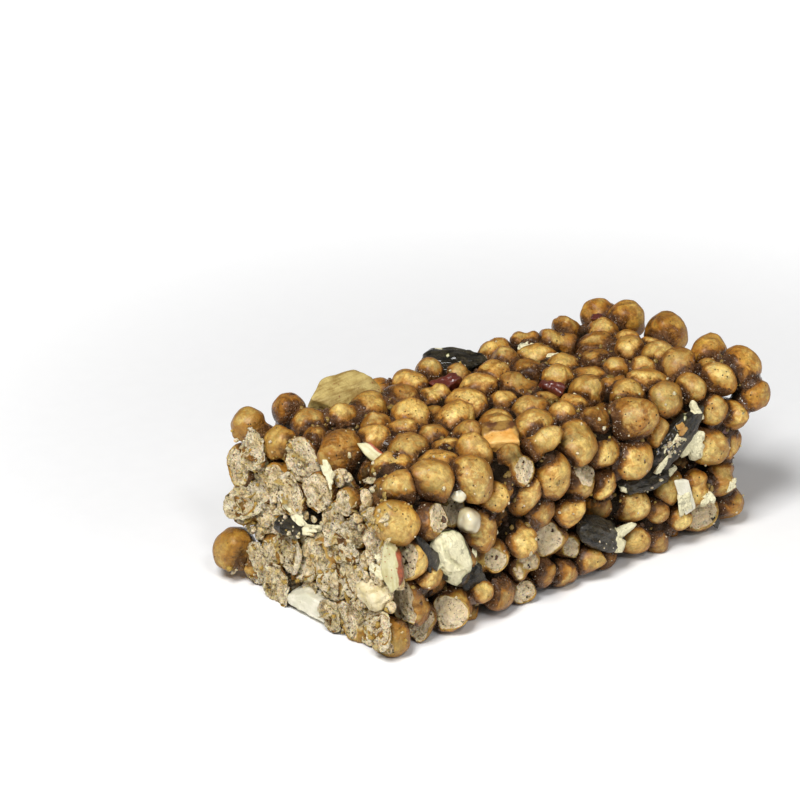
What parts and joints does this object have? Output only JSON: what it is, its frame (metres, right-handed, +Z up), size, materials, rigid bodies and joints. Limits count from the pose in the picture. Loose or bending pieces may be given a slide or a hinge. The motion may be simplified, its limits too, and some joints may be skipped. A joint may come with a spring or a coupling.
{
  "type": "protein bar",
  "caption": "Broken half of a pressed puffed-crisp protein bar with pumpkin seeds, almond, nut and fruit pieces and a rough pale broken end.",
  "frame": {"origin": "middle of the underside that the bar rests on", "axes": "+X from the broken end towards the whole end, along the length; +Z up, through the thickness; -Y the long side that shows the pale broken seed"},
  "size_m": [0.0686, 0.0364, 0.0246],
  "materials": {
    "glazed_crisp": "golden tan puffed crisps under a thin sticky glaze, dark syrup between them, pale porous foam where broken",
    "seed_skin": "dark grey-green pumpkin seed skin with a faint satin sheen",
    "seed_kernel": "pale cream-green broken kernel, matt",
    "pale_nut": "pale yellow almond and nut flesh, satin, with a thin red-brown skin at an edge",
    "toasted_nut": "toasted orange-tan nut, satin",
    "candied_fruit": "milky translucent diced candied fruit",
    "dried_fruit": "dark red dried fruit, sticky gloss"
  },
  "bodies": {
    "root": {"crisp_block": "glazed_crisp", "pumpkin_seed_broken": "seed_kernel", "pumpkin_seed_upper": "seed_skin", "pumpkin_seed_middle": "seed_skin", "pumpkin_seed_lower": "seed_skin", "pumpkin_seed_back": "seed_skin", "pumpkin_seed_end": "seed_skin", "seed_sliver_right": "seed_kernel", "almond_slice_back": "pale_nut", "almond_sliver_top": "pale_nut", "almond_sliver_corner": "pale_nut", "nut_chunk_top": "toasted_nut", "nut_chunk_end": "pale_nut", "nut_slab_end": "seed_kernel", "candied_piece_front": "candied_fruit", "candied_piece_upper": "candied_fruit", "fruit_piece_left": "dried_fruit", "fruit_piece_middle": "dried_fruit"}
  },
  "joints": []
}
